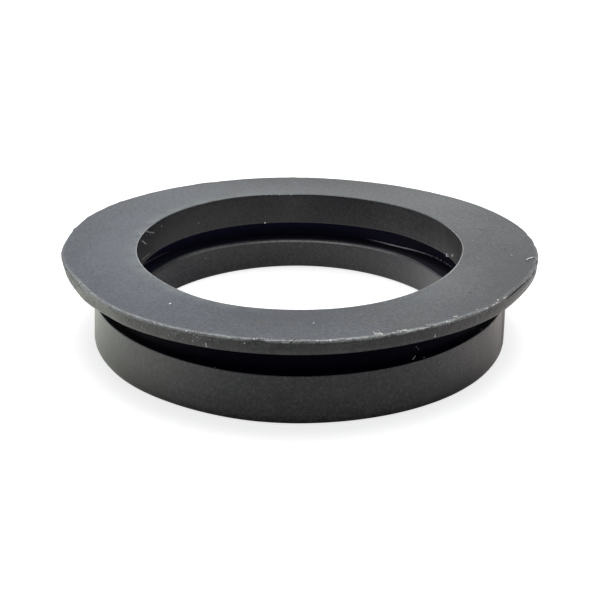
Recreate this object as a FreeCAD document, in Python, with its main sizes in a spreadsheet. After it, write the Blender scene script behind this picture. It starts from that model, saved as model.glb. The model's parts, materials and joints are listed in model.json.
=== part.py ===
import FreeCAD, Part
import os
import Sketcher

# Flush valve washer: one moulded rubber ring, in millimetres, +Z up. The origin is the
# centre of the flat base, on the ring's axis. Outside it has a wide flat lip on a plain
# skirt with a neck groove between them. Inside it has a plain bore with a retaining groove.

# Driving sizes. The radial ones add up outwards from the bore, and the upright ones add
# up from the base, so a change of one moves all that lies beyond it.
SIZES = (
    ("bore_dia", 44.8, "bore above and below the retaining groove"),
    ("groove_depth", 2.9, "retaining groove, from the bore outwards"),
    ("neck_wall", 1.5, "rubber between the retaining groove and the neck groove"),
    ("neck_depth", 1.8, "neck groove, from the skirt inwards"),
    ("lip_reach", 3.9, "lip beyond the skirt"),
    ("skirt_height", 6.5, "base to shoulder"),
    ("neck_height", 4.0, "shoulder to the lip's underside"),
    ("lip_thickness", 1.9, "lip at its rim"),
    ("lower_wall", 4.9, "base to the retaining groove's floor"),
    ("groove_width", 2.8, "retaining groove, floor to roof"),
    ("rim_round", 0.3, "round on the rim's upper edge"),
    ("foot_round", 0.6, "round on the skirt's lower edge"),
    ("rim_break", 0.2, "flat break on the rim's lower edge"),
    ("mouth_break", 0.15, "flat break on the bore's edge in the sealing face"),
    ("shoulder_break", 0.12, "flat break on the skirt's upper edge"),
    ("groove_break", 0.12, "flat break on the two bore edges beside the retaining groove"),
    ("foot_break", 0.25, "flat break on the bore's edge in the base"),
    ("neck_corner", 0.6, "rubber left in the two inner corners of the neck groove"),
    ("groove_corner", 0.3, "rubber left in the two inner corners of the retaining groove"),
)

# Radii, from the axis outwards. hollow is a radius in the open bore, clear of the wall.
RADII = {"bore": "Sizes.bore_dia / 2"}
RADII["hollow"] = RADII["bore"] + " - Sizes.groove_depth"
RADII["groove"] = RADII["bore"] + " + Sizes.groove_depth"
RADII["neck"] = RADII["groove"] + " + Sizes.neck_wall"
RADII["skirt"] = RADII["neck"] + " + Sizes.neck_depth"
RADII["lip"] = RADII["skirt"] + " + Sizes.lip_reach"

# Heights, from the base upwards.
HEIGHTS = {"base": "0"}
HEIGHTS["floor"] = "Sizes.lower_wall"
HEIGHTS["roof"] = HEIGHTS["floor"] + " + Sizes.groove_width"
HEIGHTS["shoulder"] = "Sizes.skirt_height"
HEIGHTS["underside"] = HEIGHTS["shoulder"] + " + Sizes.neck_height"
HEIGHTS["top"] = HEIGHTS["underside"] + " + Sizes.lip_thickness"

# Half-sections, as corners named by radius and height. Every side is level or upright.
BLANK = (
    ("bore", "base"),
    ("skirt", "base"),
    ("skirt", "underside"),
    ("lip", "underside"),
    ("lip", "top"),
    ("bore", "top"),
)
NECK_GROOVE = (
    ("neck", "shoulder"),
    ("lip", "shoulder"),
    ("lip", "underside"),
    ("neck", "underside"),
)
RETAINING_GROOVE = (
    ("hollow", "floor"),
    ("groove", "floor"),
    ("groove", "roof"),
    ("hollow", "roof"),
)

# Rounds and flat breaks: the feature, the property it sets, the driving size, the wall
# that limits it, and the ring edges that take it.
FILLET = ("PartDesign::Fillet", "Radius")
CHAMFER = ("PartDesign::Chamfer", "Size")
EDGES = (
    (CHAMFER, "neck_corner", "0.45 * Sizes.neck_height", (("neck", "shoulder"), ("neck", "underside"))),
    (CHAMFER, "groove_corner", "0.45 * Sizes.groove_width", (("groove", "floor"), ("groove", "roof"))),
    (FILLET, "rim_round", "0.45 * Sizes.lip_thickness", (("lip", "top"),)),
    (CHAMFER, "rim_break", "0.45 * Sizes.lip_thickness", (("lip", "underside"),)),
    (CHAMFER, "mouth_break", "0.45 * Sizes.lip_thickness", (("bore", "top"),)),
    (CHAMFER, "shoulder_break", "0.4 * Sizes.neck_depth", (("skirt", "shoulder"),)),
    (CHAMFER, "groove_break", "0.4 * Sizes.groove_depth", (("bore", "floor"), ("bore", "roof"))),
    (FILLET, "foot_round", "0.4 * Sizes.skirt_height", (("skirt", "base"),)),
    (CHAMFER, "foot_break", "0.4 * Sizes.lower_wall", (("bore", "base"),)),
)

TOLERANCE = 1e-4


def make_sizes(doc):
    """The sheet of driving sizes: name, number and what it measures."""
    sheet = doc.addObject("Spreadsheet::Sheet", "Sizes")
    for row, (name, value, meaning) in enumerate(SIZES, start=1):
        sheet.set(f"A{row}", name)
        sheet.set(f"B{row}", str(value))
        sheet.set(f"C{row}", meaning)
        sheet.setAlias(f"B{row}", name)
    doc.recompute()
    return sheet


def number(sheet, expression):
    """The value of a size expression, in millimetres."""
    return float(sheet.evalExpression(expression))


def origin_plane(body, role):
    """One of the body's own origin planes, found by its role."""
    return next(item for item in body.Origin.OriginFeatures if item.Role == role)


def section_sketch(body, sheet, name, corners):
    """A closed half-section on the XZ plane, each side tied to its radius or height."""
    sketch = body.newObject("Sketcher::SketchObject", name)
    sketch.AttachmentSupport = [(origin_plane(body, "XZ_Plane"), "")]
    sketch.MapMode = "FlatFace"
    points = [
        FreeCAD.Vector(number(sheet, RADII[radius]), number(sheet, HEIGHTS[height]), 0)
        for radius, height in corners
    ]
    count = len(corners)
    for side in range(count):
        sketch.addGeometry(Part.LineSegment(points[side], points[(side + 1) % count]), False)
    for side in range(count):
        sketch.addConstraint(Sketcher.Constraint("Coincident", side, 2, (side + 1) % count, 1))
    for side, (radius, height) in enumerate(corners):
        upright = corners[(side + 1) % count][0] == radius
        sketch.addConstraint(Sketcher.Constraint("Vertical" if upright else "Horizontal", side))
        if upright:
            bind_side(sketch, "DistanceX", side, points[side].x, RADII[radius])
        elif height == "base":
            sketch.addConstraint(Sketcher.Constraint("PointOnObject", side, 1, -1))
        else:
            bind_side(sketch, "DistanceY", side, points[side].y, HEIGHTS[height])
    return sketch


def bind_side(sketch, kind, side, value, expression):
    """Hold a side at a distance from the sketch's origin, driven by the expression."""
    index = sketch.addConstraint(Sketcher.Constraint(kind, -1, 1, side, 1, value))
    sketch.setExpression(f"Constraints[{index}]", expression)


def turn(body, kind, name, sketch):
    """Revolve the half-section a full turn about the ring's axis, to add or to cut."""
    feature = body.newObject(kind, name)
    feature.Profile = sketch
    feature.ReferenceAxis = (sketch, ["V_Axis"])
    feature.Angle = 360.0
    sketch.Visibility = False
    body.Document.recompute()


def cut_groove(body, sheet, name, corners):
    """Cut a groove all round, and make sure that it took rubber away."""
    before = body.Shape.Volume
    sketch = section_sketch(body, sheet, f"{name}_section", corners)
    turn(body, "PartDesign::Groove", name, sketch)
    if body.Shape.Volume > before - TOLERANCE:
        raise RuntimeError(f"{name} cut nothing")


def ring_edges(shape, radius, height):
    """Names of the shape's circular edges at a radius and a height."""
    names = []
    for index, edge in enumerate(shape.Edges, start=1):
        curve = edge.Curve
        if not isinstance(curve, Part.Circle):
            continue
        if abs(curve.Radius - radius) < TOLERANCE and abs(curve.Center.z - height) < TOLERANCE:
            names.append(f"Edge{index}")
    return names


def work_edges(body, sheet, feature, size, limit, places):
    """Round or break the ring edges at the named places by one driving size."""
    kind, setting = feature
    base = body.Tip
    names = []
    for radius, height in places:
        found = ring_edges(base.Shape, number(sheet, RADII[radius]), number(sheet, HEIGHTS[height]))
        if not found:
            raise RuntimeError(f"{size}: no edge at {radius}, {height}")
        names += found
    worked = body.newObject(kind, size)
    worked.Base = (base, names)
    worked.setExpression(setting, f"min(Sizes.{size}; {limit})")
    body.Document.recompute()


def make_washer(doc, sheet):
    """The moulded ring: blank, neck groove, retaining groove, then its edges and corners."""
    body = doc.addObject("PartDesign::Body", "washer")
    body.Label = "washer"
    blank = section_sketch(body, sheet, "blank_section", BLANK)
    turn(body, "PartDesign::Revolution", "blank", blank)
    cut_groove(body, sheet, "neck_groove", NECK_GROOVE)
    cut_groove(body, sheet, "retaining_groove", RETAINING_GROOVE)
    for feature, size, limit, places in EDGES:
        work_edges(body, sheet, feature, size, limit, places)
    return body


def check(doc, bodies):
    """Stop before anything is written if an object failed or a body isn't one solid."""
    for item in doc.Objects:
        if "Invalid" in item.State or "Error" in item.State:
            raise RuntimeError(f"{item.Name} failed: {item.State}")
    for body in bodies:
        shape = body.Shape
        if shape.isNull() or not shape.isValid() or len(shape.Solids) != 1:
            raise RuntimeError(f"{body.Label} isn't one valid solid")


def main():
    doc = FreeCAD.newDocument("flush_valve_washer")
    sheet = make_sizes(doc)
    bodies = [make_washer(doc, sheet)]
    doc.recompute()
    check(doc, bodies)
    os.makedirs("parts", exist_ok=True)
    for body in bodies:
        body.Shape.exportStep(f"parts/{body.Label}.step")
        box = body.Shape.BoundBox
        print(body.Label, "volume", round(body.Shape.Volume, 1), "mm3, box", box)


main()
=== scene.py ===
import json
import math
import random
from functools import lru_cache
from types import SimpleNamespace

import bmesh
import bpy
from mathutils import Matrix, Vector, noise
from mathutils.bvhtree import BVHTree


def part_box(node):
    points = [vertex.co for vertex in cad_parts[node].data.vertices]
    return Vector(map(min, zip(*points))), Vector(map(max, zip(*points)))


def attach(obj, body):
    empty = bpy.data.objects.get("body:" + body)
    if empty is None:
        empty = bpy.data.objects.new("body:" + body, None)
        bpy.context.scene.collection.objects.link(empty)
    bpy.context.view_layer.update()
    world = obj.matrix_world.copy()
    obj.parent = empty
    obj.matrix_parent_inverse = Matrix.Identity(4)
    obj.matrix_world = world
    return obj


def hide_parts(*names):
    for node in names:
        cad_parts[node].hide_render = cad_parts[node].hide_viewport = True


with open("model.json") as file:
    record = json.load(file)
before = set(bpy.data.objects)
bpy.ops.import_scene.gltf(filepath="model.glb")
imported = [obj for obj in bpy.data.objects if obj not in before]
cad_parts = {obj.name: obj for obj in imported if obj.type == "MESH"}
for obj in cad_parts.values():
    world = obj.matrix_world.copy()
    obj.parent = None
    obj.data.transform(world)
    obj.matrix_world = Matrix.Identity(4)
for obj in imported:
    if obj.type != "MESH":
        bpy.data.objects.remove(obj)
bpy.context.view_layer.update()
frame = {"record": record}

# A flush valve washer: one moulded ring of black rubber. Lengths are in millimetres and
# azimuths in degrees, from +X (the right of the view) through +Y (away from the camera).
MM = 0.001
TURN = 360.0
MOUNTS = {mount["name"]: mount for mount in frame["record"]["mounts"]}
washer_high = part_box("washer")[1]
LIP = washer_high.x / MM
TOP = washer_high.z / MM
BORE = MOUNTS["bore"]["dims"]["r_mm"]
SKIRT = MOUNTS["skirt"]["dims"]["r_mm"]
NECK = 26.8              # bottom of the neck groove, a radius
GROOVE = 25.3            # bottom of the retaining groove, a radius
SHOULDER = 6.5           # heights from here on
UNDERSIDE = 10.5
FLOOR = 4.9
ROOF = 7.7
DRAFT = 0.25             # the skirt leans in by this much towards its shoulder
FACE = TOP - 0.08        # the sealing face lies a little under the flash and the dust on it
CRACK = FACE - 0.40      # height of the split under the lip's upper edge
EDGE = LIP - 0.002       # nothing reaches further than this along X or Y
FLAT = 0                 # a corner with no round: a support loop

# The half-section, corner by corner round the rubber: radius, height, round, steps in it.
SECTION = (
    (BORE, 0.0, 0.3, 3),
    (BORE + 0.8, 0.0, FLAT, 0),
    (SKIRT - 1.0, 0.0, FLAT, 0),
    (SKIRT, 0.0, 0.45, 4),
    (SKIRT - 0.03, 0.85, FLAT, 0),
    (SKIRT - 0.10, 2.6, FLAT, 0),
    (SKIRT - 0.18, 4.4, FLAT, 0),
    (SKIRT - DRAFT, 6.1, FLAT, 0),
    (SKIRT - DRAFT, SHOULDER, 0.16, 3),
    (NECK + 0.8, SHOULDER, FLAT, 0),
    (NECK, SHOULDER, 0.6, 3),
    (NECK, UNDERSIDE, 0.6, 3),
    (NECK + 1.0, UNDERSIDE, FLAT, 0),
    (LIP - 2.0, UNDERSIDE, FLAT, 0),
    (LIP - 0.5, UNDERSIDE, FLAT, 0),
    (LIP, UNDERSIDE, 0.25, 3),
    (LIP, UNDERSIDE + 0.4, FLAT, 0),
    (LIP, UNDERSIDE + 0.7, FLAT, 0),
    (LIP, UNDERSIDE + 1.0, FLAT, 0),
    (LIP, CRACK - 0.14, FLAT, 0),
    (LIP, CRACK, FLAT, 0),
    (LIP, FACE, 0.28, 4),
    (LIP - 0.5, FACE, FLAT, 0),
    (LIP - 1.2, FACE, FLAT, 0),
    (LIP - 3.0, FACE, FLAT, 0),
    (LIP - 5.0, FACE, FLAT, 0),
    (LIP - 7.0, FACE, FLAT, 0),
    (BORE + 1.2, FACE, FLAT, 0),
    (BORE + 0.4, FACE, FLAT, 0),
    (BORE, FACE, 0.14, 3),
    (BORE, FACE - 0.5, FLAT, 0),
    (BORE, 10.6, FLAT, 0),
    (BORE, 9.2, FLAT, 0),
    (BORE, ROOF + 0.3, FLAT, 0),
    (BORE, ROOF, 0.14, 2),
    (BORE + 0.4, ROOF, FLAT, 0),
    (GROOVE, ROOF, 0.35, 3),
    (GROOVE, FLOOR, 0.35, 3),
    (BORE + 0.5, FLOOR, FLAT, 0),
    (BORE, FLOOR, 0.32, 4),
    (BORE, FLOOR - 0.6, FLAT, 0),
    (BORE, 2.6, FLAT, 0),
    (BORE, 0.6, FLAT, 0),
)
STEPS = 75               # steps in a wedge of the ring, which is then doubled till it closes
DOUBLINGS = 4

# The ring is soft and lies a little out of round. Each swell is where it is, how far it
# spreads and how far it pushes the edge out or in.
LIP_SWELLS = (
    (78, 27, -1.20), (118, 13, -0.62), (138, 6, -0.15), (183, 24, -0.50), (209, 8, -0.62),
    (228, 18, -0.45), (256, 16, -0.30), (303, 22, -1.25), (333, 9, -0.58), (17, 11, 0.38),
    (36, 8, 0.20), (158, 8, 0.24),
)
RIM_FOOT_SWELLS = ((346, 9, -0.20), (188, 14, -0.12), (195, 5, -0.18), (212, 4, 0.20), (223, 5, -0.24))
MOUTH_SWELLS = (
    (4, 9, 0.18), (37, 15, 0.40), (95, 5, -0.30), (118, 12, 0.20), (182, 26, -0.42),
    (220, 9, -0.15), (250, 17, 0.50), (282, 10, 0.15), (331, 20, -0.60),
)
ROOF_SWELLS = (
    (15, 9, 0.40), (37, 14, 0.40), (51, 6, 0.22), (92, 12, -0.18), (182, 26, -0.30), (331, 20, -0.40),
)
FLOOR_SWELLS = ((25, 10, -0.60), (157, 11, -0.40), (62, 15, 0.12), (95, 26, 0.06), (135, 20, 0.34))
HEM_SWELLS = ((84, 31, 1.05),)
SHOULDER_SWELLS = (
    (265, 18, 0.62), (322, 12, -0.38), (180, 30, -0.50), (340, 5, -0.14), (0, 9, 0.25), (272, 36, 0.10),
)
GROOVE_SWELLS = ((55, 8, -0.72), (35, 6, 0.22))
FOOT_SWELLS = (
    (262, 12, 0.25), (280, 40, 0.06), (183, 38, -0.44), (345, 22, -0.14), (0, 12, 0.15), (222, 10, 0.13),
    (186, 10, 0.07),
)

# Small irregularities of the lip's upper edge: azimuth, spread, push.
LIP_NICKS = (
    (119, 1.6, 0.25), (92, 0.5, 0.12), (170.5, 0.7, 0.12), (161, 0.8, 0.10), (349.5, 0.6, -0.30),
    (343.5, 1.0, -0.14), (187, 3, 0.10), (330, 7, -0.16), (242.7, 0.8, 0.08), (253.0, 0.5, -0.08),
    (262.0, 1.2, -0.12), (267.0, 0.9, -0.10), (271.5, 0.6, -0.07), (281.0, 0.9, -0.08),
    (352.5, 0.8, -0.10), (2.0, 0.6, -0.08), (5.5, 0.5, 0.07), (9.0, 0.6, -0.08), (13.0, 0.7, 0.06),
    (147.0, 0.8, 0.09), (153.5, 0.6, -0.06),
)
# Where the rubber has split under that edge: azimuth, spread, depth.
CRACKS = ((319, 3, 0.10), (332, 4, 0.24), (340, 4, 0.26), (347, 2, 0.16))
# How pale the sealing face is, beside the bore and beside the rim: partly its grey bloom and partly
# painted light, which makes the face much paler than the walls and paler or darker round the ring.
INNER_BLOOM_AND_LIGHT, OUTER_BLOOM_AND_LIGHT = 0.72, 0.38
INNER_SWELLS = ((270, 24, -0.72), (358, 14, -0.42), (195, 20, 0.12), (320, 7, 0.15), (80, 8, -0.15))
OUTER_SWELLS = (
    (44, 12, 0.36), (22, 8, -0.12), (130, 12, 0.26), (88, 13, -0.36), (342, 20, -0.50), (280, 15, 0.08),
    (180, 16, -0.10),
)
# How worn and pale the rim is round the ring: partly wear and partly a painted sheen, such as the painted
# highlight at its left.
RIM_WEAR_AND_SHEEN = 0.45
WEAR_AND_SHEEN_SWELLS = ((188, 6, -0.25), (199, 5, 0.16), (212, 7, -0.10), (222, 9, -0.30), (340, 9, 0.55))
# How pale the lip's upper edge is round the ring: frost and worn flash, and a painted highlight along it, most
# at its left.
EDGE_FROST_AND_HIGHLIGHT = 0.75
FROST_AND_HIGHLIGHT_SWELLS = (
    (262, 1.4, -0.9), (268, 0.8, -0.5), (330, 16, -0.40), (346, 5, 0.25), (186, 12, -0.40),
    (206, 9, 0.16), (230, 14, 0.10), (275, 14, 0.20), (292, 8, 0.25),
)
# Where the skirt is paler or darker than elsewhere: a painted highlight at its left end, and a painted
# sheen with pale and dark streaks at its right end.
SKIRT_SWELLS = ((351, 2.6, 1.0), (345.5, 1.4, -1.0), (340, 4, 0.40), (185, 7, 1.05))
# Where torn flash stands on the lip's upper edge: azimuth, spread, strength.
FLASH = (
    (215, 12, 0.3), (243, 12, 0.7), (255, 4, 0.6), (277, 8, 0.9), (292, 9, 1.2),
    (310, 10, 0.9), (326, 8, 0.3), (340, 8, 0.3),
)
FLASH_START, FLASH_END = 200.0, 352.0
FLASH_FADE = 6.0         # degrees over which it fades at its two ends
FLASH_STEPS, FLASH_DOUBLINGS = 96, 4
FLASH_CREST = LIP - 0.02
FLASH_SECTION = (
    (LIP - 0.16, FACE - 0.05, FLAT, 0),
    (FLASH_CREST, FACE - 0.10, FLAT, 0),
    (LIP - 0.04, FACE - 0.24, FLAT, 0),
)
FLASH_LEVEL = 0.12       # how much of it stands between its tears
FLASH_OUT, FLASH_UP = 0.15, 0.11
SUNK_IN, SUNK_DOWN = 0.03, 0.02

# Unevenness, as noises: how fine each is and how far it pushes.
WALL_WAVES = ((0.25, 0.02), (1.1, 0.008))
FACE_WAVES = ((0.12, 0.025), (0.45, 0.012))
FACE_DIP = 0.02          # how far the sealing face sags between its edges
EDGE_WAVE, EDGE_RIPPLE = (0.7, 1.0), (2.1, 0.6)
EDGE_OUT, EDGE_UP = 0.03, 0.015
RIM_WAVE, PITS = (0.9, 0.015), (1.7, 1.0)
PIT_LEVEL, PIT_DEPTH = 0.35, 0.16
FLASH_TEARS = ((0.4, 0.8), (1.3, 0.9), (4.3, 0.6))


def swell(azimuth, marks):
    """The sum of soft swells at an azimuth."""
    total = 0.0
    for where, spread, push in marks:
        turn = (azimuth - where + TURN / 2) % TURN - TURN / 2
        total += push * math.exp(-0.5 * (turn / spread) ** 2)
    return total


@lru_cache(maxsize=None)
def pushes(azimuth):
    """How far each edge of the section is pushed at an azimuth."""
    return {
        "lip": swell(azimuth, LIP_SWELLS),
        "nick": swell(azimuth, LIP_NICKS),
        "rim foot": swell(azimuth, RIM_FOOT_SWELLS),
        "crack": swell(azimuth, CRACKS),
        "mouth": swell(azimuth, MOUTH_SWELLS),
        "roof": swell(azimuth, ROOF_SWELLS),
        "floor": swell(azimuth, FLOOR_SWELLS),
        "groove": swell(azimuth, GROOVE_SWELLS),
        "hem": swell(azimuth, HEM_SWELLS),
        "shoulder": swell(azimuth, SHOULDER_SWELLS),
        "foot": swell(azimuth, FOOT_SWELLS),
        "inner": INNER_BLOOM_AND_LIGHT + swell(azimuth, INNER_SWELLS),
        "outer": OUTER_BLOOM_AND_LIGHT + swell(azimuth, OUTER_SWELLS),
        "wear": RIM_WEAR_AND_SHEEN + swell(azimuth, WEAR_AND_SHEEN_SWELLS),
        "frost": EDGE_FROST_AND_HIGHLIGHT + swell(azimuth, FROST_AND_HIGHLIGHT_SWELLS),
        "skirt": swell(azimuth, SKIRT_SWELLS),
    }


def share(value, start, end):
    """0 before start, 1 after end, and straight in between."""
    return min(1.0, max(0.0, (value - start) / (end - start)))


def blend(low, high, part):
    """A part of the way from low to high."""
    return low + (high - low) * part


def uneven(place, waves, shift=(0, 0, 0)):
    """The sum of noises at a place, each given by how fine and how high it is."""
    return sum(size * noise.noise(place * fine + Vector(shift)) for fine, size in waves)


def out_of_round(radius, height, push):
    """The push on a point of the section, from the pushes on the edges around it."""
    bore_side = blend(push["roof"], push["mouth"], share(height, ROOF, TOP))
    upper = blend(bore_side, push["lip"], share(radius, BORE, LIP) ** 1.4)
    inner = blend(push["hem"], push["floor"], share(height, 0, FLOOR))
    outer = blend(push["foot"], push["shoulder"], share(height, 0, SHOULDER))
    lower = blend(inner, outer, share(radius, BORE, SKIRT))
    low, high = (FLOOR, ROOF) if radius < (GROOVE + NECK) / 2 else (SHOULDER, UNDERSIDE)
    return blend(lower, upper, share(height, low, high))


def doubled(mesh, angle, times):
    """Copy a wedge of the given angle next to itself, and the pair next to that, and so on."""
    for _ in range(times):
        twin = bmesh.ops.duplicate(mesh, geom=list(mesh.verts) + list(mesh.edges) + list(mesh.faces))
        verts = [item for item in twin["geom"] if isinstance(item, bmesh.types.BMVert)]
        bmesh.ops.rotate(mesh, verts=verts, cent=(0, 0, 0), matrix=Matrix.Rotation(angle, 3, "Z"))
        angle *= 2
    bmesh.ops.remove_doubles(mesh, verts=mesh.verts, dist=1e-6)


def turned(corners, start, angle, steps, doublings):
    """A closed half-section with its corners rounded, turned through an angle from a start.
    Each corner is its radius, height, round and the steps in that round."""
    mesh = bmesh.new()
    verts = [mesh.verts.new((radius * MM, 0, height * MM)) for radius, height, *_ in corners]
    mesh.faces.new(verts)
    rounds = {}
    for vert, (_, _, size, parts) in zip(verts, corners):
        if size:
            rounds.setdefault((size, parts), []).append(vert)
    for (size, parts), places in rounds.items():
        bmesh.ops.bevel(mesh, geom=places, offset=size * MM, offset_type="OFFSET", segments=parts,
                        profile=0.5, affect="VERTICES", material=-1)
    bmesh.ops.delete(mesh, geom=list(mesh.faces), context="FACES_ONLY")
    bmesh.ops.rotate(mesh, verts=mesh.verts, cent=(0, 0, 0), matrix=Matrix.Rotation(start, 3, "Z"))
    wedge = angle / 2 ** doublings
    bmesh.ops.spin(mesh, geom=list(mesh.verts) + list(mesh.edges), cent=(0, 0, 0), axis=(0, 0, 1),
                   angle=wedge, steps=steps, use_merge=False)
    doubled(mesh, wedge, doublings)
    return mesh


def bearing(place):
    """The azimuth of a point, rounded so that points above each other share it."""
    return round(math.degrees(math.atan2(place.y, place.x)) % TURN, 3)


def laid(place):
    """Where a point of the moulded section lies on the soft, slightly worn ring."""
    reach, height = place.xy.length, place.z
    azimuth = bearing(place)
    push = pushes(azimuth)
    radius = reach + out_of_round(reach, height, push)
    radius += (push["groove"] * share(reach, BORE + 1, GROOVE - 0.4) * share(NECK - reach, 0, 1)
               * share(ROOF - height, 0, 1))
    lipside = share(reach, LIP - 2.5, LIP)
    radius += lipside * push["nick"] * share(height, UNDERSIDE + 0.5, UNDERSIDE + 1.3)
    radius += lipside * push["rim foot"] * (1 - share(height, UNDERSIDE + 0.2, FACE - 0.3))
    radius += uneven(place, WALL_WAVES)
    if height > ROOF and reach > BORE + 0.3:
        sag = share(reach, BORE + 0.3, BORE + 2) * share(LIP - reach, -0.1, 0.6)
        height += sag * (uneven(place, FACE_WAVES) - FACE_DIP)
    edge = share(reach, LIP - 0.35, LIP - 0.12) * share(place.z, FACE - 0.45, FACE - 0.16)
    if edge > 0:
        wave = uneven(place, (EDGE_WAVE,), (9, 0, 0)) + uneven(place, (EDGE_RIPPLE,))
        radius += edge * EDGE_OUT * wave
        height += edge * EDGE_UP * wave
    rim = share(reach, LIP - 0.05, LIP) * (1 - share(place.z, FACE - 0.35, FACE - 0.25))
    if rim > 0:
        pit = max(0.0, uneven(place, (PITS,), (0, 4, 0)) - PIT_LEVEL)
        split = push["crack"] * share(place.z, CRACK - 0.2, CRACK - 0.14)
        radius += rim * (uneven(place, (RIM_WAVE,)) - PIT_DEPTH * pit - split)
    turn = math.radians(azimuth)
    x, y = (max(-EDGE, min(EDGE, side * radius)) for side in (math.cos(turn), math.sin(turn)))
    return Vector((x, y, min(max(height, 0.0), TOP)))


def finished(mesh, name, material):
    """An object at the origin made from a bmesh, smooth and with one material."""
    data = bpy.data.meshes.new(name)
    mesh.to_mesh(data)
    mesh.free()
    data.shade_smooth()
    data.materials.append(material)
    piece = bpy.data.objects.new(name, data)
    bpy.context.scene.collection.objects.link(piece)
    return piece


# The camera, from the photo's viewing angle.
SIDE = 600               # the image is 600 pixels square
SENSOR = 36.0
LENS = 72.86
EYE = Vector((0.0, -156.2, 69.4)) * MM
AIM = Vector((0.25, 0.0, 4.02)) * MM
ROLL = math.radians(-0.75)

forward = (AIM - EYE).normalized()
level = forward.cross(Vector((0, 0, 1))).normalized()
down = forward.cross(level)
across = math.cos(ROLL) * level + math.sin(ROLL) * down
down = math.cos(ROLL) * down - math.sin(ROLL) * level

lens = bpy.data.cameras.new("camera")
lens.lens, lens.sensor_width, lens.clip_start = LENS, SENSOR, 0.01
camera = bpy.data.objects.new("camera", lens)
camera.matrix_world = Matrix.Translation(EYE) @ Matrix((across, -down, -forward)).transposed().to_4x4()
bpy.context.scene.collection.objects.link(camera)
bpy.context.scene.camera = camera


class Value:
    """A shader socket that Python's arithmetic works on."""

    def __init__(self, paint, socket):
        self.paint, self.socket = paint, socket

    def sum(self, operation, *values):
        return self.paint.node("ShaderNodeMath", {"operation": operation}, dict(enumerate(values)))

    def __add__(self, other):
        return self.sum("ADD", self, other)

    def __sub__(self, other):
        return self.sum("SUBTRACT", self, other)

    def __rsub__(self, other):
        return self.sum("SUBTRACT", other, self)

    def __mul__(self, other):
        return self.sum("MULTIPLY", self, other)

    def __truediv__(self, other):
        return self.sum("DIVIDE", self, other)

    def __pow__(self, other):
        return self.sum("POWER", self, other)

    __radd__, __rmul__ = __add__, __mul__

    def over(self, edge, soft):
        """0 well under the edge, 1 well over it."""
        return self.paint.node("ShaderNodeMapRange", {"interpolation_type": "SMOOTHSTEP"},
                               {0: self, 1: edge - soft, 2: edge + soft, 3: 0.0, 4: 1.0})

    def under(self, edge, soft):
        return self.paint.node("ShaderNodeMapRange", {"interpolation_type": "SMOOTHSTEP"},
                               {0: self, 1: edge - soft, 2: edge + soft, 3: 1.0, 4: 0.0})

    def between(self, low, high, soft):
        return self.over(low, soft) * self.under(high, soft)

    def larger(self, other):
        return self.sum("MAXIMUM", self, other)


class Paint:
    """Builds the nodes of one material or world."""

    def __init__(self, owner):
        owner.use_nodes = True
        self.tree = owner.node_tree
        self.tree.nodes.clear()
        self.owner = owner

    def node(self, kind, settings, sockets, out=0):
        """A node of a type, with its settings first and then its sockets' values or links."""
        made = self.tree.nodes.new(kind)
        for name, value in settings.items():
            setattr(made, name, value)
        for name, value in sockets.items():
            if isinstance(value, Value):
                self.tree.links.new(value.socket, made.inputs[name])
            else:
                made.inputs[name].default_value = value
        return Value(self, made.outputs[out])

    def mix(self, factor, one, two):
        """One colour where the factor is 0, the other where it is 1."""
        sockets = {0: factor, 6: one, 7: two}
        for index in (6, 7):
            if not isinstance(sockets[index], Value):
                sockets[index] = (*sockets[index], 1.0)
        return self.node("ShaderNodeMix", {"data_type": "RGBA"}, sockets, 2)

    def coated(self, colour, coats):
        """A colour with others laid over it in turn, each given as a mask and its colour."""
        for mask, coat in coats:
            colour = self.mix(mask, colour, coat)
        return colour

    def noise(self, where, scale, detail=3.0, roughness=0.5):
        return self.node("ShaderNodeTexNoise", {}, {"Vector": where, "Scale": scale, "Detail": detail,
                                                    "Roughness": roughness})

    def stretched(self, where, scale, offset=(0, 0, 0)):
        return self.node("ShaderNodeMapping", {}, {0: where, 1: offset, 3: scale})

    def attribute(self, name):
        return self.node("ShaderNodeAttribute", {"attribute_name": name}, {}, 2)

    def millimetres(self, metres):
        return self.node("ShaderNodeVectorMath", {"operation": "SCALE"}, {0: metres, "Scale": 1 / MM})

    def bump(self, height, distance, strength):
        sockets = {"Height": height, "Distance": distance, "Strength": strength}
        return self.node("ShaderNodeBump", {}, sockets)

    def parts(self, vector):
        split = self.node("ShaderNodeSeparateXYZ", {}, {0: vector})
        return [Value(self, split.socket.node.outputs[axis]) for axis in range(3)]

    def rays(self, *kinds):
        path = self.node("ShaderNodeLightPath", {}, {})
        return [Value(self, path.socket.node.outputs[kind]) for kind in kinds]

    def finish(self, shader, kind="ShaderNodeOutputMaterial"):
        output = self.tree.nodes.new(kind)
        self.tree.links.new(shader.socket, output.inputs[0])
        return self.owner


# The rubber's colours, painted light and painted shade among them. A pair goes from the first where its mask
# is 0 to the second where it is 1.
WALL_PAIR = ((0.0141, 0.0141, 0.0164), (0.0138, 0.0136, 0.0164))
WALL_PATCH, WALL_STREAK, WALL_GRAIN = (0.038, 0.038, 0.040), (0.044, 0.044, 0.043), (0.095, 0.095, 0.097)
# Painted light: a warm pale sheen on the streaks at the right, and a pale olive painted highlight at the
# skirt's left end.
WARM_LIT_STREAKS, OLIVE_LIT_WALL = (0.080, 0.071, 0.067), (0.088, 0.093, 0.079)
# Painted light and shade on the skirt: a pale sheen and highlight, dark streaks, and painted shade towards its
# foot.
SKIRT_SHEEN, DARK_SKIRT, SKIRT_FOOT_SHADE = (0.150, 0.144, 0.136), (0.004, 0.004, 0.004), (0.003, 0.003, 0.003)
# Painted shade on the bore's upper wall and at the sill on the left, painted light on its lower wall.
UPPER_BORE_SHADE, LIT_BORE, SILL_SHADE = (0.0050, 0.0038, 0.0062), (0.125, 0.125, 0.136), (0.004, 0.004, 0.005)
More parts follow.
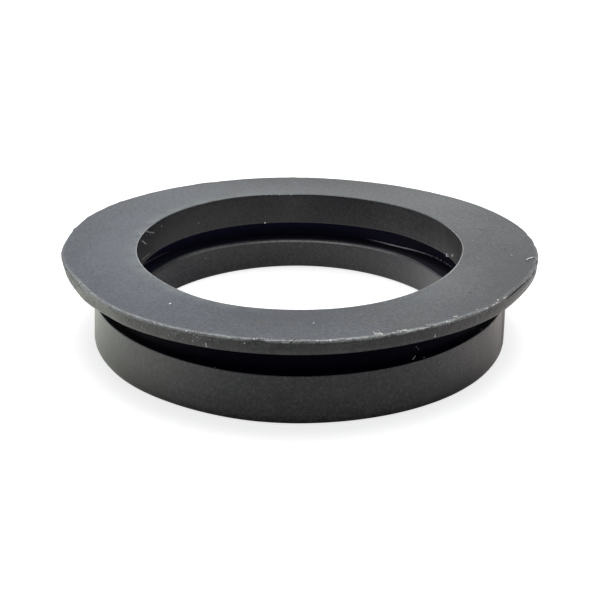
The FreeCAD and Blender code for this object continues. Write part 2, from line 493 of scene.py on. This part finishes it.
# The sealing face: grey bloom, with painted light that makes it much paler than the walls.
WARM_BLOOM_AND_LIGHT = ((0.016, 0.017, 0.0175), (0.0812, 0.0862, 0.0892))
COOL_BLOOM_AND_LIGHT = ((0.012, 0.015, 0.027), (0.0730, 0.0830, 0.1035))
HALO = (0.116, 0.131, 0.126)
RIM_PAIR = ((0.020, 0.0208, 0.0225), (0.0715, 0.0738, 0.0755))
# The worn rim's pale colour is partly a painted sheen.
RIM_TINT, WORN_RIM_AND_SHEEN, RIM_GRAIN = (0.050, 0.043, 0.042), (0.17, 0.172, 0.16), (0.20, 0.20, 0.195)
RIM_SHADE, RIM_SPOT = (0.010, 0.0105, 0.014), (0.010, 0.011, 0.010)
GROOVE_WALL_PAIR = ((0.021, 0.020, 0.050), (0.032, 0.030, 0.054))
GROOVE_FLOOR_PAIR = ((0.020, 0.020, 0.038), (0.020, 0.020, 0.027))
# Painted shade: the neck and the lip's underside near black.
NECK_SHADE_PAIR = ((0.0032, 0.0026, 0.009), (0.016, 0.015, 0.018))
# Frost on the lip's upper edge, partly a painted highlight.
FROST_AND_HIGHLIGHT_PAIR = ((0.13, 0.136, 0.14), (0.36, 0.37, 0.368))
BARE_EDGE, SPLIT = (0.030, 0.028, 0.036), (0.003, 0.003, 0.003)
# Painted highlights along the bore's upper edge and along the sill, and a painted glint in the groove's
# corner.
MOUTH_HIGHLIGHT, SILL_HIGHLIGHT, CORNER_GLINT = (0.36, 0.365, 0.36), (0.34, 0.345, 0.35), (0.80, 0.80, 0.86)
BRIGHT_CRUMB = ((0.66, 0.67, 0.66), (0.80, 0.81, 0.80))
DIM_CRUMB = ((0.025, 0.025, 0.026), (0.05, 0.05, 0.05))
MIDDLE = 0.5             # the level that every noise swings about
RUBBER_BUMP, CRUMB_BUMP = 0.00006, 0.00003    # metres


def rubber_places(paint):
    """Masks and noises for the rubber's colours. Heights and radii are in millimetres, right
    and back are the cosine and the sine of the azimuth."""
    where = paint.millimetres(paint.node("ShaderNodeAttribute", {"attribute_name": "moulded"}, {}, 1))
    x, y, height = paint.parts(where)
    radius = (x * x + y * y) ** 0.5
    right, back = x / radius, y / radius
    at = SimpleNamespace(height=height, radius=radius, right=right, back=back)
    at.cloud = paint.noise(where, 0.11, 3.0, 0.55)
    at.patch = paint.noise(where, 0.45, 4.0, 0.6)
    at.fleck = paint.noise(where, 2.2, 4.0, 0.65)
    at.grain = paint.noise(where, 4.5, 3.0, 0.75)
    at.tint = paint.noise(paint.stretched(where, (1, 1, 1), (31, 7, 0)), 0.8, 3.0, 0.6)
    at.streak = paint.noise(paint.stretched(where, (2.2, 2.2, 0.16)), 1.0, 4.0, 0.6)
    at.mottle = at.fleck * 0.6 + at.grain * 0.4

    at.face = height.over(FACE - 0.07, 0.05)
    at.outside = radius.over(NECK, 0.5)
    at.bore = radius.under(BORE + 0.5, 0.2)
    at.rim = radius.over(LIP - 0.15, 0.1) * (1 - at.face)
    at.ridge = radius.over(LIP - 0.40, 0.26) * height.over(FACE - 0.30, 0.12)
    at.spots = right.under(-0.88, 0.05) * at.mottle.under(0.465, 0.03)
    # A painted highlight on the skirt's left end and a painted sheen with streaks at its right end.
    at.skirt = paint.attribute("skirt") * at.outside * height.under(SHOULDER + 0.4, 0.2)

    crisp = right.over(0.38, 0.2) * height.over(FLOOR - 0.06, 0.03)
    ledge = radius.over(BORE + 0.35, 0.3).larger(crisp)
    at.groove = ledge * radius.under(GROOVE + 0.3, 0.1) * height.between(FLOOR - 0.15, ROOF + 0.1, 0.1)
    neck = radius.between(NECK - 0.3, SKIRT - DRAFT - 0.06, 0.06)
    neck = neck * height.between(SHOULDER - 0.1, UNDERSIDE + 0.1, 0.1)
    under = radius.over(NECK, 0.3) * radius.under(LIP - 0.2, 0.1)
    under = under * height.between(UNDERSIDE - 0.2, UNDERSIDE + 0.2, 0.1)
    # dark: the grooves, the neck and the lip's underside, which take painted shade.
    at.dark = at.groove.larger(neck).larger(under)

    at.split = height.between(CRACK - 0.24, CRACK + 0.06, 0.03) * radius.over(LIP - 0.3, 0.05)
    at.split = at.split * right.over(0.83, 0.03) * back.under(-0.17, 0.05) * at.fleck.over(0.45, 0.07)
    # A painted glint along the retaining groove's inner corner, mostly where it is lit at the right.
    corner = at.groove * radius.over(GROOVE - 0.16, 0.03) * height.between(FLOOR + 0.08, FLOOR + 0.22, 0.03)
    lit = right.between(0.50, 0.74, 0.10) + 0.4 * right.between(0.76, 0.90, 0.05) * at.fleck.over(0.52, 0.04)
    lit = lit * back.over(0.2, 0.2) + 0.10 * right.under(-0.80, 0.06)
    at.seam = corner * lit * at.mottle.over(0.36, 0.16)
    return at


def wall_colour(paint, at):
    """The walls of the bore and the skirt: near black, with worn patches, streaks and grain, and with painted
    light and shade.
    """
    height, right = at.height, at.right
    low_bore = right.over(0.6, 0.35) * 0.5 + right.under(-0.35, 0.3) * 0.05
    sill_band = height.between(FLOOR - 0.6, FLOOR + 0.3, 0.35)
    return paint.coated(paint.mix(at.outside, *WALL_PAIR), (
        (at.patch.over(0.5, 0.16) * 0.45, WALL_PATCH),
        (at.streak.over(0.6, 0.15) * 0.35, WALL_STREAK),
        (at.grain.over(0.5, 0.14) * at.fleck.over(0.5, 0.2) * 0.9, WALL_GRAIN),
        (right.over(0.85, 0.25) * at.streak.over(0.5, 0.1) * 0.7, WARM_LIT_STREAKS),
        (at.outside * right.under(-0.86, 0.2) * 0.6, OLIVE_LIT_WALL),
        (at.skirt, SKIRT_SHEEN),
        (0 - at.skirt, DARK_SKIRT),
        (at.bore * height.over(ROOF, 0.3) * right.under(0.55, 0.25) * 0.55, UPPER_BORE_SHADE),
        # Painted shade: the skirt darker towards its foot.
        (at.outside * height.under(2.6, 2.0) * (right * right).between(0.40, 0.74, 0.18) * 0.86, SKIRT_FOOT_SHADE),
        (at.bore * height.under(FLOOR, 0.2) * low_bore, LIT_BORE),
        (at.bore * sill_band * right.under(-0.76, 0.12) * 0.6, SILL_SHADE),
    ))


def bloom_and_light_colour(paint, at):
    """The grey bloom and painted light on the sealing face, cooler at the left and in front, with a pale halo
    at its left.
    """
    pale = paint.attribute("bloom") + (at.fleck - MIDDLE) * at.back.over(0.2, 0.5) * 1.5
    for weight, swing in ((0.35, at.cloud), (0.8, at.patch), (1.8, at.fleck), (2.6, at.grain)):
        pale = pale + weight * (swing - MIDDLE)
    cool = 0.35 - at.right * 0.6 - at.back * 0.35 + 1.2 * (at.cloud - MIDDLE) + 2.4 * (at.tint - MIDDLE)
    bloom = paint.mix(cool, paint.mix(pale, *WARM_BLOOM_AND_LIGHT), paint.mix(pale, *COOL_BLOOM_AND_LIGHT))
    halo = at.radius.under(BORE + 1.3, 1.1) * at.right.under(-0.35, 0.5)
    return paint.mix(halo * at.patch.over(0.45, 0.2) * 0.75, bloom, HALO)


def rim_colour(paint, at):
    """The lip's rim: worn and mottled, paler at places with a painted sheen, with painted shade and notches
    under its upper edge.
    """
    height, mottle = at.height, at.mottle
    wear = paint.attribute("wear")
    worn_and_lit = mottle + 0.6 * at.patch + 0.45 * wear + 0.14 * height.under(UNDERSIDE + 0.5, 0.3) - 0.55
    shade = height.between(FACE - 0.52, FACE - 0.26, 0.08) * (0.25 + 0.75 * mottle.under(0.5, 0.05))
    notch = height.between(FACE - 0.95, FACE - 0.3, 0.1) * mottle.under(0.44, 0.03)
    return paint.coated(paint.mix(worn_and_lit.over(0.54, 0.16), *RIM_PAIR), (
        (at.tint.over(0.5, 0.15) * 0.6, RIM_TINT),
        (wear.over(0.8, 0.25) * 0.5, WORN_RIM_AND_SHEEN),
        (at.grain.over(0.64, 0.05) * wear, RIM_GRAIN),
        (shade.larger(notch) * 0.85, RIM_SHADE),
        (at.spots * 0.9, RIM_SPOT),
    ))


def groove_colour(paint, at):
    """The retaining groove's wall and floor, and the neck and the lip's underside painted near black as
    painted shade.
    """
    wall = paint.mix(at.right.over(0.45, 0.3), *GROOVE_WALL_PAIR)
    floor = paint.mix(at.right.over(0.4, 0.3), *GROOVE_FLOOR_PAIR)
    inner = paint.mix(at.height.under(FLOOR + 0.12, 0.08), wall, floor)
    neck_ends = at.right.under(-0.62, 0.25).larger(at.right.over(0.80, 0.12))
    return paint.mix(at.groove, paint.mix(neck_ends, *NECK_SHADE_PAIR), inner)


def edge_coats(paint, at):
    """Frost and a painted highlight on the lip's upper edge, the split under it, painted highlights round the
    bore and a painted glint in the groove.
    """
    height, right, back = at.height, at.right, at.back
    edge = paint.attribute("frost")
    frost = paint.mix(at.grain.over(0.5, 0.2), *FROST_AND_HIGHLIGHT_PAIR)
    # Frost on the near half of the edge, partly a painted highlight.
    worn_and_lit = at.ridge * (0.35 - back).over(0.5, 0.5) * (0.5 * at.patch + 0.5 * at.mottle).over(0.44, 0.12)
    bare = at.ridge * edge.under(0.3, 0.3) * height.under(FACE - 0.02, 0.02)
    # A painted highlight along the bore's upper edge.
    mouth = (at.radius - 0.11 * back.under(-0.2, 0.25)).under(BORE + 0.10, 0.03)
    mouth = mouth * height.over(FACE - 0.12, 0.03) * (right * right).over(0.6, 0.25)
    mouth = mouth * back.under(0.35, 0.15) * at.fleck.over(0.40, 0.2)
    # A painted highlight along the top of the sill at the back.
    sill = at.bore * height.between(FLOOR - 0.50, FLOOR - 0.20, 0.06) * back.over(0.66, 0.14)
    sill = sill * (0.35 + 0.65 * right.over(-0.25, 0.2)) * (1 - 0.35 * right.over(0.38, 0.1))
    sill = sill * right.under(0.66, 0.12) * at.fleck.over(0.35, 0.2)
    return (
        (worn_and_lit * edge, frost),
        (bare, BARE_EDGE),
        (at.split, SPLIT),
        (mouth * 0.85, MOUTH_HIGHLIGHT),
        (sill, SILL_HIGHLIGHT),
        (at.seam, CORNER_GLINT),
    )


def rubber():
    """Moulded black rubber: sealing face paler with bloom and painted light, grooves dark with painted shade,
    worn and pitted lip with painted sheen.
    """
    paint = Paint(bpy.data.materials.new("moulded black rubber"))
    at = rubber_places(paint)
    colour = paint.coated(wall_colour(paint, at), (
        (at.face, bloom_and_light_colour(paint, at)),
        (at.rim, rim_colour(paint, at)),
        (at.dark, groove_colour(paint, at)),
        *edge_coats(paint, at),
    ))
    rough = 0.27 + 0.06 * at.face + 0.08 * at.patch + 0.06 * at.fleck
    normal = paint.bump(at.grain * 0.6 + at.fleck * 0.4, RUBBER_BUMP, 0.8)
    body = paint.node("ShaderNodeBsdfPrincipled", {}, {
        "Base Color": colour, "Roughness": rough * (1 - 0.6 * at.seam), "Coat Weight": at.seam,
        "Coat Roughness": 0.12, "Normal": normal, "IOR": 1.5})
    # Painted shade: this rubber has no reflection, and it is laid on where dull says.
    shaded_recess = paint.node("ShaderNodeBsdfPrincipled", {}, {
        "Base Color": colour, "Roughness": 0.6, "Normal": normal, "IOR": 1.5, "Specular IOR Level": 0.03})
    # dull: painted shade in the grooves, the neck, the lip's underside, the skirt's foot in front and the
    # sill's edge at the back; also the split, the rim's spots and far left, and the skirt's dark streak.
    sill = at.bore * at.height.between(FLOOR - 0.16, FLOOR + 0.1, 0.05) * at.back.over(0.84, 0.08)
    foot = at.outside * at.height.under(0.75, 0.6) * (0 - at.back).over(0.75, 0.2)
    dull = (at.dark * (1 - at.seam)).larger(at.split)
    for mask, strength in (
        (at.rim * at.right.under(-0.90, 0.06), 0.45), (at.rim * at.spots, 0.8), (0 - at.skirt, 0.6),
        (sill, 0.6), (foot, 0.62),
    ):
        dull = dull.larger(mask * strength)
    return paint.finish(paint.node("ShaderNodeMixShader", {}, {0: dull, 1: body, 2: shaded_recess}))


def pale_crumbs():
    """Torn flash, dust and lint: pale and matt, with darker dirt in it."""
    paint = Paint(bpy.data.materials.new("pale crumbs"))
    where = paint.millimetres(paint.node("ShaderNodeTexCoord", {}, {}, 3))
    dirt = paint.noise(where, 5.0, 3.0, 0.6).over(0.5, 0.25)
    bright, dim = paint.mix(dirt, *BRIGHT_CRUMB), paint.mix(dirt, *DIM_CRUMB)
    shader = paint.node("ShaderNodeBsdfPrincipled", {}, {
        "Base Color": paint.mix(paint.attribute("tone"), dim, bright), "Roughness": 0.6 + 0.2 * dirt,
        "Normal": paint.bump(dirt, CRUMB_BUMP, 0.4)})
    return paint.finish(shader)


def make_washer():
    """The ring, with what its material needs to know at each point."""
    mesh = turned(SECTION, 0.0, math.tau, STEPS, DOUBLINGS)
    bmesh.ops.recalc_face_normals(mesh, faces=mesh.faces)
    moulded = mesh.verts.layers.float_vector.new("moulded")
    bloom = mesh.verts.layers.float.new("bloom")
    wear = mesh.verts.layers.float.new("wear")
    frost = mesh.verts.layers.float.new("frost")
    skirt = mesh.verts.layers.float.new("skirt")
    for vert in mesh.verts:
        place = vert.co / MM
        push = pushes(bearing(place))
        vert[moulded] = vert.co
        vert[bloom] = blend(push["inner"], push["outer"], share(place.xy.length, BORE + 2.2, LIP - 2))
        vert[wear] = push["wear"]
        vert[frost] = push["frost"]
        vert[skirt] = push["skirt"]
        vert.co = laid(place) * MM
    piece = finished(mesh, "washer_rubber", rubber())
    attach(piece, "root")
    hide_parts("washer")
    return piece


def make_flash(material):
    """A thin torn film of rubber along the lip's upper edge, where the mould halves met."""
    start, angle = math.radians(FLASH_START), math.radians(FLASH_END - FLASH_START)
    mesh = turned(FLASH_SECTION, start, angle, FLASH_STEPS, FLASH_DOUBLINGS)
    bmesh.ops.holes_fill(mesh, edges=[edge for edge in mesh.edges if edge.is_boundary])
    bmesh.ops.recalc_face_normals(mesh, faces=mesh.faces)
    tone = mesh.verts.layers.float.new("tone")
    for vert in mesh.verts:
        place = vert.co / MM
        azimuth = bearing(place)
        ends = share(azimuth, FLASH_START, FLASH_START + FLASH_FADE)
        ends *= share(FLASH_END - azimuth, 0, FLASH_FADE)
        ragged = FLASH_LEVEL + uneven(place, FLASH_TEARS)
        amount = ends * min(1.0, swell(azimuth, FLASH)) * min(1.2, max(0.0, ragged))
        crest = abs(place.xy.length - FLASH_CREST) < 0.01
        place = laid(place)
        out = place.xy.normalized()
        if crest:
            push = FLASH_OUT * amount - SUNK_IN
            place += Vector((out.x * push, out.y * push, FLASH_UP * amount))
        else:
            place -= Vector((out.x * SUNK_IN, out.y * SUNK_IN, SUNK_DOWN))
        place.z = min(place.z, TOP)
        vert[tone] = min(1.0, 0.2 + 0.9 * amount)
        vert.co = place * MM
    piece = finished(mesh, "lip_flash", material)
    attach(piece, "root")


# Dust and crumbs seen on the ring: the pixel, how wide in pixels, how bright.
CRUMBS = (
    (170.2, 303.7, 2.3, 1.0), (180.2, 296.0, 1.5, 0.35), (149.0, 292.0, 1.5, 0.22), (313.5, 323.0, 1.5, 0.8),
    (244.3, 343.1, 1.8, 0.9), (186.6, 331.0, 2.0, 1.0), (142.5, 327.5, 2.6, 0.32), (134.7, 324.8, 1.6, 0.32),
    (178.0, 332.8, 1.6, 0.45), (196.3, 337.5, 1.6, 0.42), (206.4, 377.7, 1.8, 0.28), (210.0, 339.8, 1.6, 0.4),
    (215.4, 367.4, 1.4, 0.35), (166.2, 338.8, 1.5, 0.4), (205.2, 258.2, 1.4, 0.35), (265.0, 222.9, 2.0, 1.0),
    (198.6, 222.9, 1.5, 0.32), (161.8, 226.4, 1.4, 0.4), (140.4, 234.0, 1.7, 0.55), (330.3, 340.6, 2.0, 0.9),
    (378.3, 330.6, 1.3, 0.6), (381.9, 334.1, 2.0, 1.0), (254.0, 339.0, 1.8, 0.8), (290.0, 341.0, 1.6, 0.6),
    (318.0, 341.2, 1.8, 0.7), (400.5, 331.8, 1.8, 0.8), (404.0, 330.9, 1.6, 0.7), (434.9, 336.2, 1.8, 1.0),
    (434.9, 334.5, 1.2, 0.6), (446.9, 321.7, 1.8, 1.0), (456.0, 317.0, 1.6, 0.6), (477.0, 309.5, 1.5, 0.6),
    (413.9, 358.2, 1.8, 0.4), (424.0, 357.5, 1.6, 0.7), (481.4, 329.3, 1.3, 0.7), (485.8, 331.8, 1.3, 0.45),
    (491.0, 315.0, 1.6, 0.45), (446.9, 255.2, 3.0, 1.0), (447.9, 256.3, 2.2, 1.0), (452.5, 255.5, 2.7, 1.0),
    (511.6, 255.2, 1.6, 0.5), (524.5, 281.4, 1.5, 0.6), (147.0, 232.0, 1.4, 0.4), (150.5, 234.0, 1.4, 0.45),
    (153.0, 233.5, 1.5, 0.5), (146.0, 235.5, 1.3, 0.35), (448.3, 264.0, 1.3, 0.3), (417.8, 251.2, 1.3, 0.35),
    (470.2, 292.3, 1.9, 0.0), (472.5, 241.0, 1.8, 0.3), (127.5, 322.0, 1.2, 0.4), (156.0, 331.0, 1.3, 0.35),
    (183.0, 338.6, 1.2, 0.5), (203.5, 344.5, 1.2, 0.4), (77.0, 282.2, 1.6, 0.06), (78.6, 284.6, 1.5, 0.05),
    (76.0, 280.2, 1.2, 0.12), (79.4, 286.4, 1.2, 0.10), (79.6, 283.2, 1.1, 0.75), (537.0, 261.4, 1.6, 0.0),
    (536.2, 263.8, 1.8, 0.0), (532.8, 274.6, 1.7, 0.0), (534.4, 270.5, 1.1, 0.1), (497.8, 300.0, 1.6, 0.9),
    (266.6, 194.9, 1.1, 0.20), (271.2, 195.3, 0.9, 0.18), (279.6, 195.3, 1.3, 0.28), (281.9, 194.9, 0.9, 0.22),
    (290.8, 195.3, 1.2, 0.26),
)
# Heaps of finer crumbs: the middle pixel, half its width and height, how many, how bright.
HEAPS = (
    (377.6, 333.9, 4.2, 1.3, 30, 0.42), (364.0, 336.4, 5.0, 0.7, 12, 0.4), (403.0, 330.6, 5.0, 0.9, 18, 0.45),
    (394.5, 332.6, 2.0, 0.5, 4, 0.5), (346.0, 339.0, 8.0, 0.7, 14, 0.35), (432.0, 324.6, 5.0, 0.8, 12, 0.4),
    (456.0, 316.6, 4.0, 0.8, 10, 0.45), (305.0, 340.6, 14.0, 0.6, 16, 0.4), (262.0, 338.8, 7.0, 0.6, 8, 0.4),
    (143.0, 328.0, 7.0, 3.0, 9, 0.3), (171.0, 334.0, 6.0, 3.0, 9, 0.32), (199.0, 338.0, 7.0, 3.0, 8, 0.3),
    (286.5, 342.5, 5.0, 0.9, 9, 0.4), (126.0, 322.0, 5.0, 2.0, 5, 0.26), (490.0, 311.0, 4.0, 2.0, 5, 0.25),
    (450.0, 322.5, 5.0, 1.2, 6, 0.5),
)
# Lint and short fibres: the pixels they pass, how thick in pixels, how bright.
FIBRES = (
    (((205.8, 342.8), (206.1, 344.8), (206.8, 346.7)), 1.2, 0.85),
    (((142.0, 241.0), (144.0, 242.2), (145.6, 244.2)), 0.9, 0.6),
    (((141.8, 260.0), (145.0, 257.0), (149.3, 253.6)), 0.8, 0.1),
    (((145.0, 231.0), (149.0, 232.6), (153.8, 232.4)), 0.8, 0.32),
    (((526.6, 260.2), (528.4, 258.9), (530.6, 258.6), (532.6, 257.9)), 1.3, 0.95),
    (((533.0, 257.0), (535.0, 257.3), (536.6, 259.2)), 0.8, 0.5),
    (((415.0, 346.2), (417.6, 347.0), (418.8, 350.4)), 0.9, 0.1),
    (((412.6, 360.0), (413.8, 357.6), (415.2, 356.2)), 1.1, 0.6),
    (((476.5, 228.4), (484.0, 229.6), (491.5, 229.8)), 0.4, 0.42),
    (((503.5, 248.2), (506.5, 248.9)), 0.6, 0.27),
)

# How the crumbs vary. A pair is the least and the most.
DUST_SEED = 7
FINE_PIXELS, FINE_TONES = (1.1, 2.3), (0.7, 1.3)
CRUMB_WIDTHS, CRUMB_LENGTHS, CRUMB_HEIGHT = (0.85, 1.15), (0.8, 1.0), 0.6
CRUMB_LUMPS = (-0.22, 0.22)
LEVEL_STRETCH = 1.6      # a crumb on level rubber is longer away from the camera


def sight(surface, across_px, down_px):
    """The point of the ring that shows at a pixel, its outward normal and a pixel's size there."""
    focal = LENS / SENSOR * SIDE
    ray = (forward * focal + across * (across_px - SIDE / 2) + down * (down_px - SIDE / 2)).normalized()
    point, normal, _, distance = surface.ray_cast(EYE, ray)
    return point, normal, distance * ray.dot(forward) / focal


def heaped(dice):
    """The fine crumbs of the heaps, scattered round their middles."""
    crumbs = []
    for middle, height, wide, high, count, bright in HEAPS:
        for _ in range(count):
            across_px, down_px = dice.gauss(middle, wide / 2), dice.gauss(height, high / 2)
            crumb_px = dice.uniform(*FINE_PIXELS)
            crumbs.append((across_px, down_px, crumb_px, bright * dice.uniform(*FINE_TONES)))
    return crumbs


def make_dust(surface, material):
    """Small crumbs that lie on the ring, each sunk a little into it."""
    mesh = bmesh.new()
    tone = mesh.verts.layers.float.new("tone")
    dice = random.Random(DUST_SEED)
    for across_px, down_px, wide, bright in (*CRUMBS, *heaped(dice)):
        point, normal, pixel = sight(surface, across_px, down_px)
        size = wide * pixel / 2
        width, length = size * dice.uniform(*CRUMB_WIDTHS), size * dice.uniform(*CRUMB_LENGTHS)
        shape = Matrix.Diagonal((width, length, size * CRUMB_HEIGHT, 1))
        upright = normal.to_track_quat("Z", "X").to_matrix().to_4x4()
        turn = upright @ Matrix.Rotation(dice.uniform(0, math.tau), 4, "Z")
        longer = Matrix.Diagonal((1, LEVEL_STRETCH if normal.z > 0.7 else 1.0, 1, 1))
        made = bmesh.ops.create_icosphere(mesh, subdivisions=2, radius=1.0,
                                          matrix=Matrix.Translation(point) @ longer @ turn @ shape)
        for vert in made["verts"]:
            vert.co += (vert.co - point) * dice.uniform(*CRUMB_LUMPS)
            vert.co.z = min(vert.co.z, TOP * MM)
            vert[tone] = bright
    bmesh.ops.recalc_face_normals(mesh, faces=mesh.faces)
    piece = finished(mesh, "dust", material)
    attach(piece, "root")


def make_lint(surface, material):
    """Fine fibres that lie on the ring."""
    merged = bmesh.new()
    tone = merged.verts.layers.float.new("tone")
    for path, thick, bright in FIBRES:
        line = bpy.data.curves.new("fibre", "CURVE")
        line.dimensions, line.bevel_resolution, line.use_fill_caps = "3D", 2, True
        spline = line.splines.new("NURBS")
        spline.points.add(len(path) - 1)
        for knot, (across_px, down_px) in zip(spline.points, path):
            point, normal, pixel = sight(surface, across_px, down_px)
            line.bevel_depth = thick * pixel / 2
            knot.co = (*(point + normal * line.bevel_depth * 0.5), 1.0)
        spline.order_u, spline.use_endpoint_u = 3, True
        holder = bpy.data.objects.new("fibre", line)
        tube = bpy.data.meshes.new_from_object(holder)
        before = len(merged.verts)
        merged.from_mesh(tube)
        merged.verts.ensure_lookup_table()
        for vert in merged.verts[before:]:
            vert.co.z = min(vert.co.z, TOP * MM)
            vert[tone] = bright
        bpy.data.objects.remove(holder)
        bpy.data.curves.remove(line)
        bpy.data.meshes.remove(tube)
    bmesh.ops.remove_doubles(merged, verts=merged.verts, dist=1e-7)
    bmesh.ops.recalc_face_normals(merged, faces=merged.faces)
    piece = finished(merged, "lint", material)
    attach(piece, "root")


# The floor's colours, outside the ring at the left, at the right and in front, and then inside
# it at the left and at the right: what the rubber mirrors of it, and the glow added to that.
# They are painted light and shade: bright at the left as if lit from there, dark in front, and
# dark inside at the left as if in the ring's shadow.
MIRRORED_FLOOR = (
    (0.73, 0.75, 0.69), (0.59, 0.555, 0.54), (0.42, 0.42, 0.42), (0.20, 0.20, 0.21), (0.66, 0.65, 0.65),
)
MIRRORED_GLOW = (
    (0.62, 0.64, 0.58), (0.32, 0.30, 0.29), (0.12, 0.12, 0.12), (0.10, 0.10, 0.11), (0.58, 0.57, 0.57),
)
SEEN_FLOOR = ((0.55, 0.55, 0.55), (0.57, 0.57, 0.57))
SEEN_GLOW = 0.72         # added to what the camera sees, so that lit floor is white
# Painted shade: what the floor bounces onto the rubber is darker in front.
BOUNCED_FLOOR = ((0.60, 0.60, 0.59), (0.42, 0.42, 0.42))
INSIDE = 0.0245          # the floor inside the ring, a radius in metres
FRONT_X, FRONT_Y = 0.17, -0.985    # the way from the ring to the floor in front of it
FLOOR_REACH, FLOOR_DROP = 3.0, 0.00001    # metres; the floor lies a hair under the ring


def make_floor():
    """A pale floor: white to the camera where nothing shades it."""
    paint = Paint(bpy.data.materials.new("pale floor"))
    camera_ray, glossy_ray = paint.rays("Is Camera Ray", "Is Glossy Ray")
    place = paint.node("ShaderNodeTexCoord", {}, {}, 3)
    x, y, _ = paint.parts(place)
    reach = (x * x + y * y) ** 0.5 + 0.001
    front = ((FRONT_X * x + FRONT_Y * y) / reach).over(0.72, 0.3)
    inside = reach.under(INSIDE, 0.002)
    to_right = x.over(0.0, 0.02)

    def by_place(left, right, ahead, inner_left, inner_right):
        outer = paint.mix(front, paint.mix(to_right, left, right), ahead)
        return paint.mix(inside, outer, paint.mix(to_right, inner_left, inner_right))

    tone = paint.mix(paint.noise(place, 30.0, 2.0), *SEEN_FLOOR)
    seen = paint.node("ShaderNodeBsdfDiffuse", {}, {"Color": tone})
    glow = paint.node("ShaderNodeEmission", {}, {"Color": (1, 1, 1, 1), "Strength": SEEN_GLOW})
    bright = paint.node("ShaderNodeAddShader", {}, {0: seen, 1: glow})
    bounce = paint.node("ShaderNodeBsdfDiffuse", {}, {"Color": paint.mix(front, *BOUNCED_FLOOR)})
    matt = paint.node("ShaderNodeBsdfDiffuse", {}, {"Color": by_place(*MIRRORED_FLOOR)})
    lift = paint.node("ShaderNodeEmission", {}, {"Color": by_place(*MIRRORED_GLOW)})
    mirror = paint.node("ShaderNodeAddShader", {}, {0: matt, 1: lift})
    sheen = paint.node("ShaderNodeMixShader", {}, {0: glossy_ray, 1: bounce, 2: mirror})
    material = paint.finish(paint.node("ShaderNodeMixShader", {}, {0: camera_ray, 1: sheen, 2: bright}))
    mesh = bmesh.new()
    bmesh.ops.create_circle(mesh, cap_ends=True, segments=96, radius=FLOOR_REACH)
    bmesh.ops.translate(mesh, verts=mesh.verts, vec=(0, 0, -FLOOR_DROP))
    finished(mesh, "floor", material)


STUDIO = ((0.96, 0.985, 1.0), (0.34, 0.34, 0.35))    # all round, and behind the camera
SHOWN_STUDIO = (1.0, 1.0, 1.0)
STUDIO_LEVEL, SHOWN_LIFT = 0.55, 0.45    # on matt rubber, and what is added where it is seen or mirrored
LAMP_PLACE, LAMP_TILT = (0.0, 0.12, 0.55), math.radians(-12)
LAMP_SIZE, LAMP_ENERGY = 0.5, 3.0        # metres, watts


def make_light():
    """A white studio, darker behind the camera, and one large soft lamp overhead."""
    world = bpy.data.worlds.new("studio")
    bpy.context.scene.world = world
    paint = Paint(world)
    camera_ray, glossy_ray = paint.rays("Is Camera Ray", "Is Glossy Ray")
    x, y, z = paint.parts(paint.node("ShaderNodeTexCoord", {}, {}, 0))
    camera_side = (0 - y).over(0.5, 0.4) * z.under(0.75, 0.4)
    shown = paint.mix(camera_ray, paint.mix(camera_side, *STUDIO), SHOWN_STUDIO)
    strength = camera_ray.larger(glossy_ray) * SHOWN_LIFT + STUDIO_LEVEL
    background = paint.node("ShaderNodeBackground", {}, {"Color": shown, "Strength": strength})
    paint.finish(background, "ShaderNodeOutputWorld")

    lamp_data = bpy.data.lights.new("softbox", "AREA")
    lamp_data.shape, lamp_data.size, lamp_data.energy = "DISK", LAMP_SIZE, LAMP_ENERGY
    lamp = bpy.data.objects.new("softbox", lamp_data)
    lamp.location = LAMP_PLACE
    lamp.rotation_euler = (LAMP_TILT, 0, 0)
    bpy.context.scene.collection.objects.link(lamp)


washer = make_washer()
surface = BVHTree.FromPolygons([vert.co.copy() for vert in washer.data.vertices],
                               [tuple(face.vertices) for face in washer.data.polygons])
crumb_finish = pale_crumbs()
make_flash(crumb_finish)
make_dust(surface, crumb_finish)
make_lint(surface, crumb_finish)
make_floor()
make_light()
bpy.context.scene.view_settings.view_transform = "Standard"
